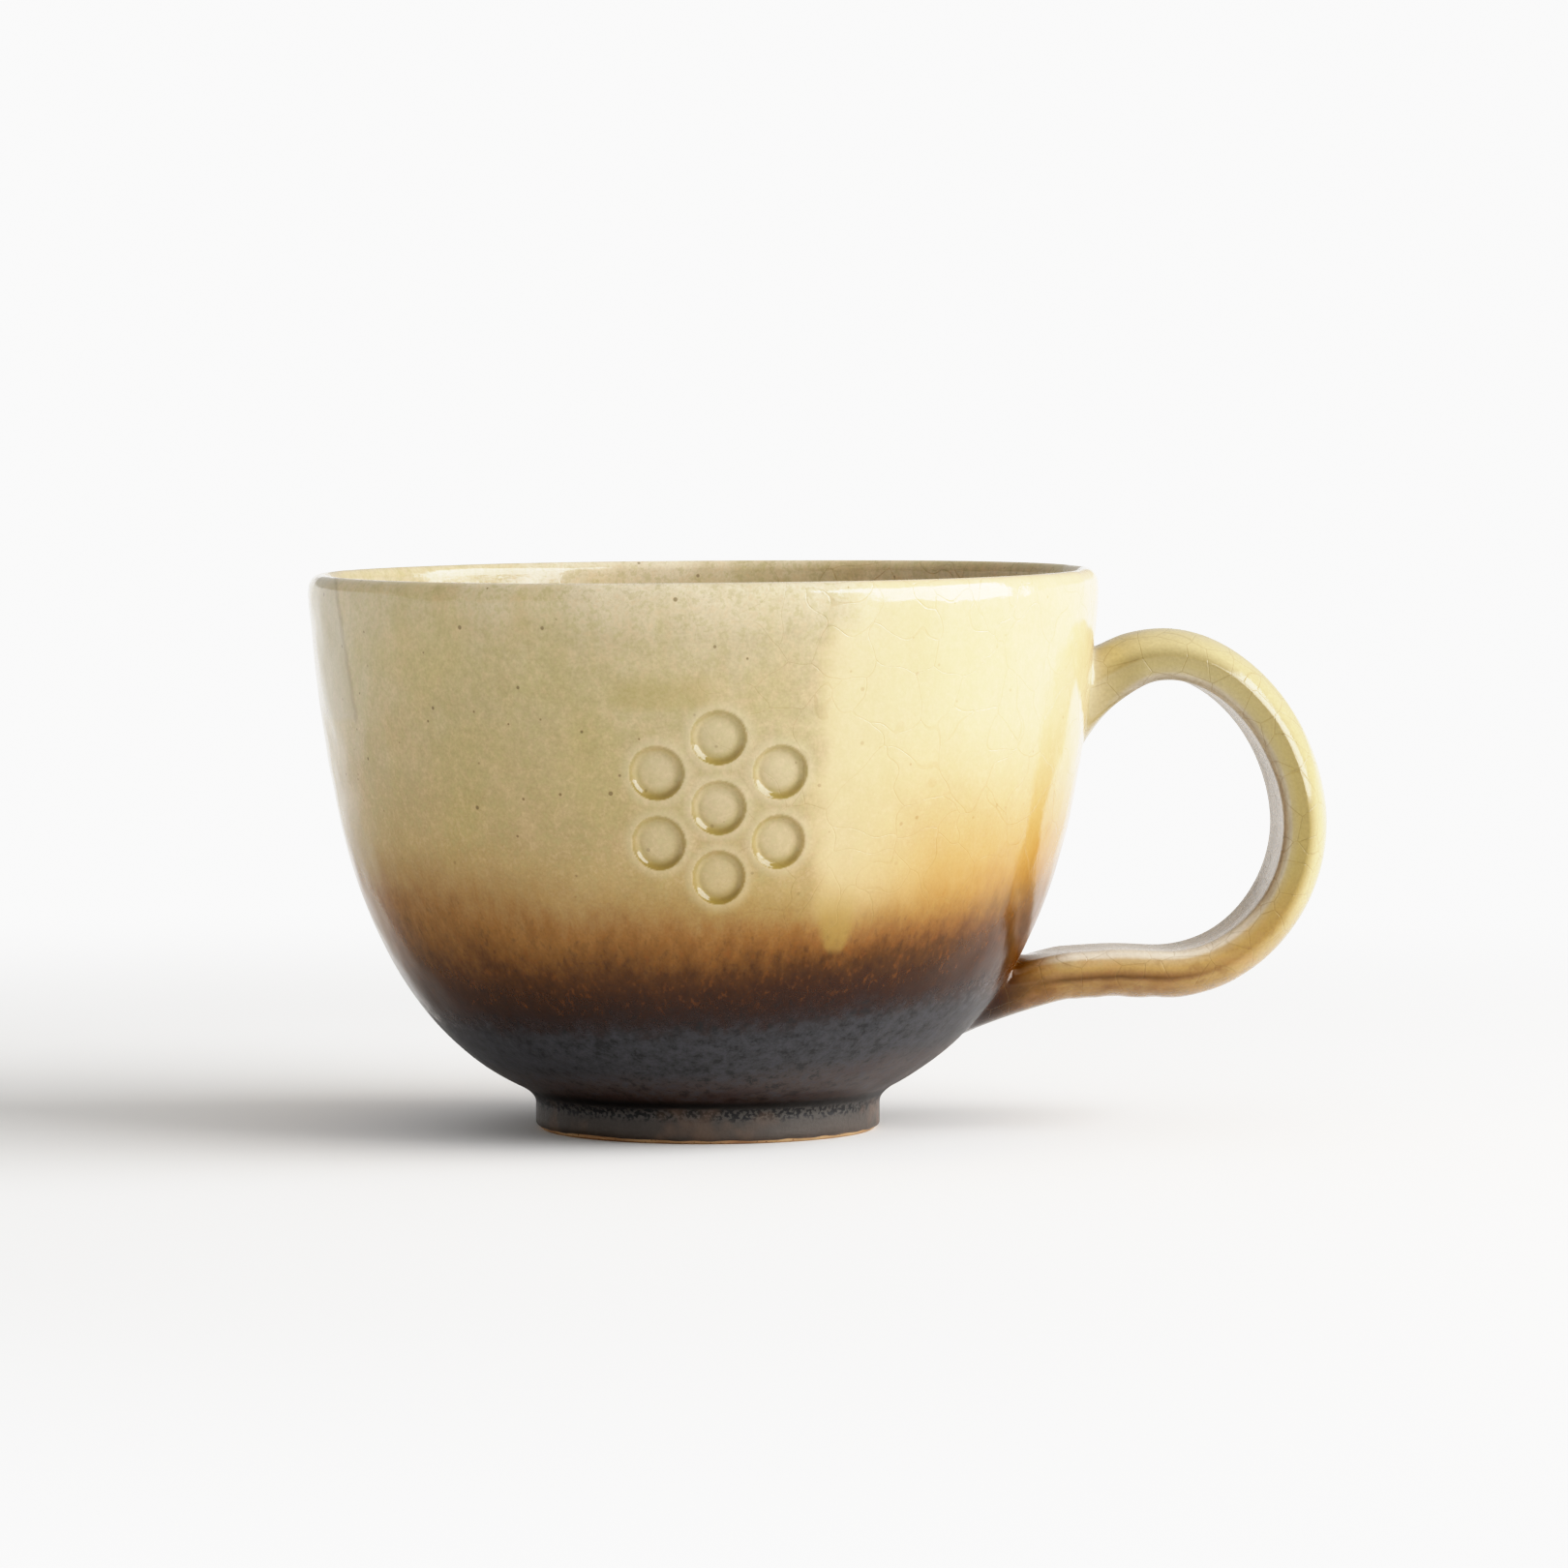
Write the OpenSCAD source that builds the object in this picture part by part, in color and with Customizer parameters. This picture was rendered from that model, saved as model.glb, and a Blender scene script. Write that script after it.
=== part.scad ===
// Stoneware mug: a thrown bowl on a turned foot ring, with one pulled strap handle,
// glazed inside and out down to the resting face.
// Millimetres, Z up. The origin is the centre of the foot's resting face, and the
// handle points along +X.

/* [Bowl] */
// Height of the lip above the table
mug_h = 77.7; // [74:0.1:82]
// Outside diameter across the lip
rim_d = 110; // [106:0.5:116]
// How far the lower wall is thrown out, as the radius that its curve is pulled towards
belly_r = 48; // [46:0.5:50]
// Height that the lower wall's curve is pulled towards
belly_h = 14.4; // [13:0.1:16]
// Height at which the upper wall straightens
shoulder_h = 44.8; // [42:0.2:48]
// Thickness of the lip, glaze included
lip_t = 3.2; // [2.8:0.1:4]
// Height of the inside floor above the table
floor_h = 9; // [8.4:0.1:10]

/* [Foot] */
// Diameter of the foot ring
foot_d = 48; // [46:0.5:50]
// Height of the hollow under the foot
foot_h = 4.4; // [4.2:0.1:5]
// Width of the ring that meets the table
land_w = 4.6; // [3.6:0.1:6]
// Height of the bare clay edge below the glaze
bare_h = 0.7; // [0.5:0.1:1.2]

/* [Handle] */
// Reach of the handle's outer face from the mug's axis
reach = 87.1; // [84:0.5:92]
// Height of the loop's crest above the table, at mid thickness
crest_h = 66; // [64:0.5:68]
// Height of the lower run above the table, at mid thickness
lower_run_h = 21.2; // [20:0.2:23]
// Width of the strap, front to back
strap_w = 15; // [13:0.5:17]
// Thickness of the strap, glaze included
strap_t = 7; // [6:0.1:8]

/* [Glaze] */
// Thickness of every glaze coat
glaze_t = 0.5; // [0.4:0.05:0.7]
// Height of the dark glaze's upper edge
dark_h = 16; // [14:0.5:20]

/* [Hidden] */
round_steps = 180;
wall_steps = 22;
lip_steps = 8;
rim_r = rim_d / 2;
foot_r = foot_d / 2;
lip_z = mug_h - lip_t / 2;
// The upper wall leans out this much between the shoulder and the lip
wall_lean = 2.2;
// The inside wall's curve is pulled towards this height and this share of the lip
well_h = 22;
well_share = 0.62;
// The bowl's curve starts this far inside the foot's edge and above its hollow
tuck = [1.3, 0.3];

function bezier(p, t) =
    pow(1 - t, 3) * p[0] + 3 * pow(1 - t, 2) * t * p[1]
    + 3 * (1 - t) * t * t * p[2] + pow(t, 3) * p[3];

// ---- The mug's glazed profile, from the foot, up the outside, over the lip and
// ---- down the inside to the middle of the floor, as [radius, height]
outer_curve = [[foot_r - tuck[0], foot_h + tuck[1]], [belly_r, belly_h],
               [rim_r - wall_lean, shoulder_h], [rim_r, lip_z]];
inner_curve = [[rim_r - lip_t, lip_z], [rim_r - lip_t - wall_lean, well_h],
               [rim_r * well_share, floor_h], [0, floor_h]];
skin = concat(
    [for (i = [1:wall_steps]) bezier(outer_curve, i / wall_steps)],
    [for (i = [1:lip_steps - 1]) [rim_r - lip_t / 2, lip_z]
        + lip_t / 2 * [cos(180 * i / lip_steps), sin(180 * i / lip_steps)]],
    [for (i = [0:wall_steps]) bezier(inner_curve, i / wall_steps)]);
last = len(skin) - 1;
// The outer coat turns over the lip and meets the liner where the inside wall starts
lip_inside = wall_steps + lip_steps - 1;
dark_edge = min([for (i = [0:wall_steps - 1]) if (skin[i][1] > dark_h) i]);

// The clay surface lies one coat below the glazed one
function along(i) = i == last ? [-1, 0] : skin[min(i + 1, last)] - skin[max(i - 1, 0)];
function into_clay(d) = [-d[1], d[0]] / norm(d);
clay = [for (i = [0:last]) skin[i] + glaze_t * into_clay(along(i))];

// A band of the profile between two stations, one coat thick
function coat(from, to) = concat(
    [for (i = [from:to]) skin[i]], [for (i = [to:-1:from]) clay[i]]);

// ---- Foot
clay_foot_r = foot_r - glaze_t;
recess_r = clay_foot_r - land_w;
edge_round = 0.6;
// The glaze pools in a hollow curve between the foot and the bowl, which starts this
// far below the bowl and is pulled this far up into the corner
cove_drop = 1.6;
cove_pull = 0.6;
cove_steps = 6;
cove = [for (i = [0:cove_steps - 1]) let (t = i / cove_steps)
    pow(1 - t, 2) * [foot_r, foot_h - cove_drop]
    + 2 * t * (1 - t) * [foot_r, foot_h + cove_pull] + t * t * skin[0]];

module bowl() {
    color("#b99a72")
    rotate_extrude($fn = round_steps)
    polygon(concat([[0, foot_h], [clay_foot_r, foot_h]], clay));
}

module foot_ring() {
    outer_edge = [for (a = [-90:22.5:0]) [clay_foot_r - edge_round, edge_round]
        + edge_round * [cos(a), sin(a)]];
    inner_edge = [for (a = [180:22.5:270]) [recess_r + edge_round, edge_round]
        + edge_round * [cos(a), sin(a)]];
    color("#c58f5c")
    rotate_extrude($fn = round_steps)
    polygon(concat(inner_edge, outer_edge, [[clay_foot_r, foot_h], [recess_r, foot_h]]));
}

module liner_glaze() {
    color("#d8c48f")
    rotate_extrude($fn = round_steps)
    polygon(coat(lip_inside, last));
}

module ash_glaze() {
    color("#d9c88f")
    rotate_extrude($fn = round_steps)
    polygon(coat(dark_edge, lip_inside));
}

module iron_glaze() {
    color("#4a4a50")
    rotate_extrude($fn = round_steps)
    polygon(concat(
        [[clay_foot_r, bare_h], [foot_r, bare_h]], cove,
        [for (i = [0:dark_edge]) skin[i]],
        [for (i = [dark_edge:-1:0]) clay[i]],
        [[clay_foot_r, foot_h]]));
}

// ---- Handle. Its middle line lies in the plane y = 0 and runs from the upper
// ---- root over the crest and back to the lower root, as [x, z]
mid_reach = reach - strap_t / 2;
// Height of the loop's outermost point, and the distance from the axis of its crest
mid_h = 42;
crest_x = 64;
// How far each quarter of the loop holds its direction before it bends
crest_hold = 10;
fall_hold = 12;
return_hold = 11;
lower_end = 46;
loop = [
    [[54.5, 60.5], [57, 64], [60, crest_h], [crest_x, crest_h]],
    [[crest_x, crest_h], [crest_x + crest_hold, crest_h],
     [mid_reach, mid_h + fall_hold], [mid_reach, mid_h]],
    [[mid_reach, mid_h], [mid_reach, mid_h - return_hold],
     [crest_x + return_hold, lower_run_h], [crest_x, lower_run_h]],
    [[crest_x, lower_run_h], [58, lower_run_h], [52, lower_run_h],
     [lower_end, lower_run_h]]];
// Where the strap ends and the roots begin, counted in curves along the loop
strap_start = 0.62;
strap_end = 3.78;
strap_rings = 44;

function mid(u) = let (k = min(floor(u), 3)) bezier(loop[k], u - k);
function heading(u) = let (d = mid(u + 0.01) - mid(u - 0.01)) d / norm(d);

// One cross-section point, as [across the strap, outwards from the middle line]:
// crowned on the outside, flat towards the fingers, with rounded side faces
sides = 20;
side_power = 0.7;
crown_power = 0.9;
flat_power = 0.5;
function signed_pow(v, e) = sign(v) * pow(abs(v), e);
function section(a, inset) =
    [(strap_w / 2 - inset) * signed_pow(cos(a), side_power),
     (strap_t / 2 - inset) * signed_pow(sin(a), sin(a) > 0 ? crown_power : flat_power)];
function strap_point(u, a, inset) =
    let (m = mid(u), t = heading(u), s = section(a, inset))
    [m[0] - t[1] * s[1], s[0], m[1] + t[0] * s[1]];
function strap_ring(u, inset) =
    [for (i = [0:sides - 1]) strap_point(u, 360 * i / sides, inset)];

// A point on the bowl's glazed outside at height z and distance y from the plane
function wall_r(z) = lookup(z, [for (i = [0:wall_steps - 1]) [skin[i][1], skin[i][0]]]);
function on_wall(y, z) = [sqrt(pow(wall_r(z), 2) - y * y), y, z];

// Quads between successive rings of a tube, and a fan or an annulus over its ends
function ring_quads(rings) = [for (r = [0:rings - 2]) for (i = [0:sides - 1])
    let (j = (i + 1) % sides)
    [r * sides + i, r * sides + j, (r + 1) * sides + j, (r + 1) * sides + i]];
function flat(lists) = [for (l = lists) for (e = l) e];

module tube(rings) {
    n = len(rings);
    polyhedron(flat(rings), concat(
        [[for (i = [sides - 1:-1:0]) i]],
        ring_quads(n),
        [[for (i = [0:sides - 1]) (n - 1) * sides + i]]), convexity = 6);
}

strap_stations = [for (i = [0:strap_rings])
    strap_start + (strap_end - strap_start) * i / strap_rings];

module handle_strap() {
    color("#b99a72")
    tube([for (u = strap_stations) strap_ring(u, glaze_t)]);
}

// The coat is a hollow tube round the strap: outer rings one way, inner rings back
module handle_glaze() {
    n = len(strap_stations);
    rings = concat(
        [for (i = [0:n - 1]) strap_ring(strap_stations[i], 0)],
        [for (i = [n - 1:-1:0]) strap_ring(strap_stations[i], glaze_t)]);
    closing = [for (i = [0:sides - 1]) let (j = (i + 1) % sides, e = (2 * n - 1) * sides)
        [e + i, e + j, j, i]];
    color("#c9b878")
    polyhedron(flat(rings), concat(ring_quads(2 * n), closing), convexity = 8);
}

// A root flares from the strap's end to an oval seat on the wall. The rings leave
// the strap along it and arrive along the wall, so the joint is hollow all round.
// seat is [middle height, rise on the strap's outer side, drop on its inner side,
// half width], and share shrinks it about its middle.
flare_rings = 7;
seat_rings = 3;
flare_lead = 2.2;
flare_share = 0.8;
function seat_point(a, seat, share) =
    on_wall(share * seat[3] * cos(a),
            seat[0] + share * (sin(a) > 0 ? seat[1] : seat[2]) * sin(a));
function flare_point(u, way, a, seat, t) =
    let (from = strap_point(u, a, 0), h = heading(u),
         lead = way * flare_lead * [h[0], 0, h[1]])
    bezier([from, from + lead, seat_point(a, seat, flare_share), seat_point(a, seat, 1)], t);

// way is -1 at the strap's start and 1 at its end
module root(u, way, seat) {
    flare = [for (r = [0:flare_rings]) [for (i = [0:sides - 1])
        flare_point(u, way, 360 * i / sides, seat, r / flare_rings)]];
    face = [for (r = [1:seat_rings - 1]) [for (i = [0:sides - 1])
        seat_point(360 * i / sides, seat, 1 - r / seat_rings)]];
    rings = concat(flare, face);
    n = len(rings);
    points = concat(flat(rings), [on_wall(0, seat[0])]);
    shell = concat(
        [[for (i = [sides - 1:-1:0]) i]],
        ring_quads(n),
        [for (i = [0:sides - 1]) [(n - 1) * sides + i,
            (n - 1) * sides + (i + 1) % sides, n * sides]]);
    polyhedron(points, way > 0 ? shell : [for (f = shell) [for (i = [len(f) - 1:-1:0]) f[i]]],
               convexity = 6);
}

upper_seat = [61, 6, 9.5, 8];
lower_seat = [19.5, -6.6, -4.4, 8];

module upper_root() {
    color("#cbbb80")
    root(strap_start, -1, upper_seat);
}

module lower_root() {
    color("#a5793f")
    root(strap_end, 1, lower_seat);
}

bowl();
foot_ring();
handle_strap();
upper_root();
lower_root();
liner_glaze();
ash_glaze();
iron_glaze();
handle_glaze();
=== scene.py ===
"""A wheel-thrown stoneware mug with a pulled strap handle, in a pale ash glaze over a dark iron base."""
import math

import bmesh
import bpy
import numpy
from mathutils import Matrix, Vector, noise
from mathutils.geometry import interpolate_bezier


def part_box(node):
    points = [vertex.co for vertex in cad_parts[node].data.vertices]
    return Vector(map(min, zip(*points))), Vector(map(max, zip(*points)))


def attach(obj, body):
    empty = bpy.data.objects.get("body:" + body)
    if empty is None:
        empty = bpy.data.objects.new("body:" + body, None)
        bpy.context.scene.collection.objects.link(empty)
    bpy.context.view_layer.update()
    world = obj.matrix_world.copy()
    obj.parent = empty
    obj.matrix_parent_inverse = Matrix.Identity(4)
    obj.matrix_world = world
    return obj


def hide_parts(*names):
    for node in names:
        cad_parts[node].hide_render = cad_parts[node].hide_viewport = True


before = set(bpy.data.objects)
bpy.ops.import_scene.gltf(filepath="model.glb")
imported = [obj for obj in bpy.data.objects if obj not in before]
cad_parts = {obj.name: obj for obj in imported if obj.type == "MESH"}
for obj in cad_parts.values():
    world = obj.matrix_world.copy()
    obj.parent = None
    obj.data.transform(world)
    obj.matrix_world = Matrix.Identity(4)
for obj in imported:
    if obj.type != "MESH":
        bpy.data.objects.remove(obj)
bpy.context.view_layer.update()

# ---- The thrown bowl
# A deep round bowl of stoneware clay, thrown on the wheel and turned when it had stiffened.
# Fired hard under its glazes, it shows bare only in the hollow under the foot.
MM = 0.001
GLAZE = 0.5
LIP_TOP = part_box("ash_glaze")[1].z / MM
RIM_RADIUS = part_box("ash_glaze")[1].x / MM
CLAY_FOOT_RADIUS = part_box("foot_ring")[1].x / MM
FOOT_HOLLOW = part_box("bowl")[0].z / MM
FOOT_RADIUS = CLAY_FOOT_RADIUS + GLAZE
LIP_ROUND = 1.6
FLOOR_HEIGHT = 9.0
WALL_STEPS = 66
LIP_STEPS = 16
WELL_STEPS = 44
TURNS = 240
WALL_SAMPLES = 600

lip_middle = Vector((RIM_RADIUS - LIP_ROUND, LIP_TOP - LIP_ROUND))
outside_pulls = (
    Vector((FOOT_RADIUS - 1.3, FOOT_HOLLOW + 0.3)),
    Vector((48.0, 14.4)),
    Vector((RIM_RADIUS - 2.2, 44.8)),
    Vector((RIM_RADIUS, lip_middle.y)),
)
inside_pulls = (
    Vector((RIM_RADIUS - 2 * LIP_ROUND, lip_middle.y)),
    Vector((RIM_RADIUS - 2 * LIP_ROUND - 2.2, 22.0)),
    Vector((RIM_RADIUS * 0.62, FLOOR_HEIGHT)),
    Vector((0.0, FLOOR_HEIGHT)),
)
outside_line = interpolate_bezier(*outside_pulls, WALL_STEPS + 1)[3:]
inside_line = interpolate_bezier(*inside_pulls, WELL_STEPS + 1)
lip_turns = [math.pi * i / LIP_STEPS for i in range(1, LIP_STEPS)]
lip_line = [lip_middle + LIP_ROUND * Vector((math.cos(a), math.sin(a))) for a in lip_turns]
skin = outside_line + lip_line + inside_line


def below(line, depth):
    """The same profile, moved into the clay by depth. A line that ends on the axis still ends there."""
    moved = []
    for i, point in enumerate(line):
        run = line[min(i + 1, len(line) - 1)] - line[max(i - 1, 0)]
        run.normalize()
        moved.append(point + depth * Vector((-run.y, run.x)))
    if line[-1].x <= 0:
        moved[-1].x = 0.0
    return moved


wall_table = interpolate_bezier(*outside_pulls, WALL_SAMPLES)
wall_heights = numpy.array([p.y for p in wall_table])
wall_radii = numpy.array([p.x for p in wall_table])


def wall_radius(height):
    """Radius of the glazed outside at a height, in mm."""
    return float(numpy.interp(height, wall_heights, wall_radii))


def ease(low, high, value):
    """0 at low, 1 at high, and smooth between."""
    t = min(max((value - low) / (high - low), 0.0), 1.0)
    return t * t * (3 - 2 * t)


STAMP_TURN = math.radians(-92.5)
STAMP_HEIGHT = 47.8
STAMP_RING = 9.4
DIMPLE = 3.7
DIMPLE_DEPTH = 0.75
CLAY_GIVES = 1.3
UNDER_GLAZE = 1.2
DIMPLE_FLAT = 0.78
STAMP_REACH = STAMP_RING + DIMPLE
stamp_radius = wall_radius(STAMP_HEIGHT)
ring_turns = [math.radians(30 + 60 * i) for i in range(6)]
dimples = [(0.0, 0.0)] + [(STAMP_RING * math.cos(a), STAMP_RING * math.sin(a)) for a in ring_turns]


def on_stamp(point):
    """Where a point of the wall lies across and up from the middle of the stamp, in mm."""
    turn = math.atan2(point.y, point.x) - STAMP_TURN
    turn = (turn + math.pi) % (2 * math.pi) - math.pi
    return turn * stamp_radius, point.z / MM - STAMP_HEIGHT


def stamped(point):
    """How far the stamp pushes the wall in, how thickly the glaze pools there, and its pale edge."""
    across, up = on_stamp(point)
    push, pool, edge = 0.0, 0.0, 0.0
    if math.hypot(across, up) > STAMP_REACH + 5:
        return push, pool, edge
    for cx, cy in dimples:
        dx, dy = across - cx, up - cy
        reach = math.hypot(dx, dy) / DIMPLE
        if reach < 1:
            domed = 0.60 + 0.40 * min(reach / DIMPLE_FLAT, 1.0) ** 2
            push = max(push, DIMPLE_DEPTH * ease(1.0, 0.70, reach) * domed)
            low = 0.5 - 0.5 * dy / (DIMPLE * max(reach, 0.05))
            pool = max(pool, ease(0.45, 0.90, reach) * (0.30 + 0.70 * low ** 2) * ease(1.0, 0.98, reach))
        else:
            edge = max(edge, ease(1.48, 1.0, reach))
    pale = edge * (1.0 if push == 0 else 0.0) + ease(0.25, 0.55, push / DIMPLE_DEPTH) * (1 - pool)
    return push, pool, pale


def dented(point):
    """How far the hidden clay gives behind the stamp, so that the pressed glaze stays clear of it."""
    across, up = on_stamp(point)
    return CLAY_GIVES * ease(STAMP_REACH + 4, STAMP_REACH, math.hypot(across, up))


LEAN = math.radians(0.45)
RINGS = 0.07
SWAY = 0.26
RIPPLE = 0.10
LIP_WAVE = 0.16
LIP_TUCK = 0.24
TUCK_FROM = 73.8
TUCK_LENGTH = 2.4
HANDLE_SIDE = 55.0
LEAN_FROM = 4.5


def fired(point):
    """Where a point ends up once the thrown wall has wavered a little and sunk on its foot in the kiln.

    The foot stays true, and so does the far side of the handle.
    """
    x, y, z = point / MM
    radius = math.hypot(x, y)
    if radius < 1e-6:
        return point.copy()
    cx, cy = x / radius, y / radius
    free = ease(3.5, 9.0, z) * ease(HANDLE_SIDE + 9.0, HANDLE_SIDE, x)
    rings = RINGS * noise.noise(Vector((cx * 0.5, cy * 0.5, z * 0.24)))
    sway = SWAY * noise.noise(Vector((cx * 1.3 + 7, cy * 1.3, z * 0.03)))
    ripple = RIPPLE * noise.noise(Vector((x * 0.07, y * 0.07, z * 0.07)))
    out = free * (rings + sway + ripple) * min(radius / 30.0, 1.0)
    tuck = min(max((z - TUCK_FROM) / TUCK_LENGTH, 0.0), 1.2) ** 2
    out -= LIP_TUCK * tuck * ease(RIM_RADIUS - 3.4, RIM_RADIUS - 1.6, radius)
    rise = LIP_WAVE * noise.noise(Vector((cx * 1.1, cy * 1.1 + 3, 0.5))) * ease(55.0, 76.0, z)
    return MM * Vector((
        x + cx * out - free * LEAN * (z - LEAN_FROM),
        y + cy * out,
        z + free * (LEAN * x + rise),
    ))


def turned(line, steps, loop):
    """A form turned on the wheel from a profile of (radius, height) in mm."""
    form = bmesh.new()
    corners = [form.verts.new((MM * p[0], 0.0, MM * p[1])) for p in line]
    pairs = list(zip(corners, corners[1:]))
    if loop:
        pairs.append((corners[-1], corners[0]))
    edges = [form.edges.new(pair) for pair in pairs]
    bmesh.ops.spin(form, geom=corners + edges, cent=(0, 0, 0), axis=(0, 0, 1),
                   angle=2 * math.pi, steps=steps, use_merge=True)
    on_axis = [corner for corner in form.verts if math.hypot(corner.co.x, corner.co.y) < 1e-7]
    bmesh.ops.remove_doubles(form, verts=on_axis, dist=1e-7)
    bmesh.ops.recalc_face_normals(form, faces=form.faces)
    return form


SHARP = math.radians(50)


def finished(form, name, material, slot, *nodes):
    """Makes a form into a piece of the mug, in its finish, on the mug's one body."""
    for edge in form.edges:
        if len(edge.link_faces) == 2 and edge.calc_face_angle(0.0) > SHARP:
            edge.smooth = False
    mesh = bpy.data.meshes.new(name)
    form.to_mesh(mesh)
    form.free()
    mesh.shade_smooth()
    mesh.materials.append(material)
    piece = bpy.data.objects.new(name, mesh)
    bpy.context.scene.collection.objects.link(piece)
    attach(piece, "root")
    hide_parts(*nodes)


class Wire:
    """A value in a recipe for a finish. Sums on it add the nodes that work them out."""

    def __init__(self, recipe, socket):
        self.recipe = recipe
        self.socket = socket

    def sum(self, operation, *values):
        return self.recipe.add("ShaderNodeMath", {"operation": operation}, dict(enumerate(values)))

    def __add__(self, other):
        return self.sum("ADD", self, other)

    def __radd__(self, other):
        return self.sum("ADD", other, self)

    def __sub__(self, other):
        return self.sum("SUBTRACT", self, other)

    def __rsub__(self, other):
        return self.sum("SUBTRACT", other, self)

    def __mul__(self, other):
        return self.sum("MULTIPLY", self, other)

    def __rmul__(self, other):
        return self.sum("MULTIPLY", other, self)

    def __truediv__(self, other):
        return self.sum("DIVIDE", self, other)

    def __rtruediv__(self, other):
        return self.sum("DIVIDE", other, self)

    def __pow__(self, other):
        return self.sum("POWER", self, other)

    def __rpow__(self, other):
        return self.sum("POWER", other, self)

    def __abs__(self):
        return self.sum("ABSOLUTE", self)


def shade(red, green, blue):
    """A colour in everyday 0 to 255 values."""
    parts = [c / 255 for c in (red, green, blue)]
    return (*[c / 12.92 if c <= 0.04045 else ((c + 0.055) / 1.055) ** 2.4 for c in parts], 1.0)


class Recipe:
    """One finish, put together node by node. Places on the mug are in mm."""

    def __init__(self, name):
        self.material = bpy.data.materials.new(name)
        self.material.use_nodes = True
        self.tree = self.material.node_tree
        self.tree.nodes.clear()
        where = self.add("ShaderNodeTexCoord", {}, {}, "Object")
        self.place = self.add("ShaderNodeVectorMath", {"operation": "SCALE"}, {0: where, "Scale": 1 / MM})
        self.x = self.add("ShaderNodeSeparateXYZ", {}, {0: self.place}, 0)
        self.y = self.add("ShaderNodeSeparateXYZ", {}, {0: self.place}, 1)
        self.z = self.add("ShaderNodeSeparateXYZ", {}, {0: self.place}, 2)

    def add(self, kind, settings, sockets, out=0):
        """A node of that kind, its settings first and then its sockets. It gives the output asked for."""
        node = self.tree.nodes.new(kind)
        for key, value in settings.items():
            if key == "stops":
                ramp = node.color_ramp
                while len(ramp.elements) < len(value):
                    ramp.elements.new(0.5)
                for element, (at, colour) in zip(ramp.elements, value):
                    element.position = at
                    element.color = colour
            else:
                setattr(node, key, value)
        for key, value in sockets.items():
            if isinstance(value, Wire):
                self.tree.links.new(value.socket, node.inputs[key])
            else:
                node.inputs[key].default_value = value
        return Wire(self, node.outputs[out]) if node.outputs else None

    def stretched(self, x, y, z):
        """The place for a pattern that comes out longer along each direction whose factor is below 1."""
        return self.add("ShaderNodeVectorMath", {"operation": "MULTIPLY"}, {0: self.place, 1: (x, y, z)})

    def cloud(self, size, detail=2.0, place=None, shift=0.0, rough=0.5):
        """Soft patches of about that size, from about 0.25 to 0.75."""
        at = self.add("ShaderNodeVectorMath", {"operation": "ADD"},
                      {0: place or self.place, 1: (shift, 2 * shift, 0)})
        return self.add("ShaderNodeTexNoise", {"noise_dimensions": "3D"},
                        {"Vector": at, "Scale": 1 / size, "Detail": detail, "Roughness": rough})

    def rise(self, low, high, value):
        """0 below low, 1 above high, smooth between; it falls where low is above high."""
        return self.add("ShaderNodeMapRange", {"interpolation_type": "SMOOTHSTEP"},
                        {0: value, 1: low, 2: high, 3: 0.0, 4: 1.0})

    def mix(self, share, one, other):
        """Colour one, with that share of the other laid over it."""
        return self.add("ShaderNodeMix", {"data_type": "RGBA"}, {0: share, 6: one, 7: other}, 2)

    def mark(self, name):
        """A value that the mesh carries from point to point. It is 0 where the mesh has none."""
        return self.add("ShaderNodeAttribute", {"attribute_name": name}, {}, "Fac")

    def by_height(self, level, top, stops):
        """A colour that changes with the level up to the top, from stops of (height, colour)."""
        placed = [(height / top, shade(*colour)) for height, colour in stops]
        return self.add("ShaderNodeValToRGB", {"stops": placed}, {0: level / top})

    def tone(self, colour, amount):
        """The colour made lighter or darker by a factor that varies over the surface."""
        return self.add("ShaderNodeVectorMath", {"operation": "SCALE"}, {0: colour, "Scale": amount})

    def finish(self, colour, roughness, height, **fixed):
        """The surface itself. height is its fine relief in mm, and the rest is the same all over."""
        normal = self.add("ShaderNodeBump", {}, {"Height": height, "Strength": 1.0, "Distance": MM})
        surface = self.add("ShaderNodeBsdfPrincipled", {}, {
            "Base Color": colour, "Roughness": roughness, "Normal": normal, **fixed})
        self.add("ShaderNodeOutputMaterial", {}, {"Surface": surface})
        return self.material


def bare_clay():
    """Toasted sandy stoneware with fine turning marks round the foot."""
    r = Recipe("toasted_clay")
    radius = (r.x * r.x + r.y * r.y) ** 0.5
    marks = r.add("ShaderNodeTexNoise", {"noise_dimensions": "1D"},
                  {"W": radius * 2.2, "Scale": 1.0, "Detail": 3.0})
    grit = r.cloud(0.35, 3.0)
    patches = r.cloud(6.0, 2.0)
    base = r.mix(r.rise(0.35, 0.7, patches), shade(188, 158, 124), shade(166, 132, 102))
    base = r.mix(r.rise(0.62, 0.72, grit), base, shade(98, 70, 50))
    base = r.tone(base, 0.86 + 0.28 * marks)
    return r.finish(base, 0.72 + 0.2 * grit, 0.06 * grit + 0.10 * marks)


clay_line = below(skin, GLAZE)
bowl_line = [Vector((0.0, FOOT_HOLLOW)), Vector((CLAY_FOOT_RADIUS, FOOT_HOLLOW))] + clay_line
bowl_form = turned(bowl_line, TURNS, False)
for corner in bowl_form.verts:
    spread = Vector((corner.co.x, corner.co.y, 0.0))
    if spread.length / MM > wall_radius(corner.co.z / MM) - UNDER_GLAZE:
        corner.co -= spread.normalized() * MM * dented(corner.co)
    corner.co = fired(corner.co)
clay = bare_clay()
finished(bowl_form, "bowl_clay", clay, "clay", "bowl")

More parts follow.
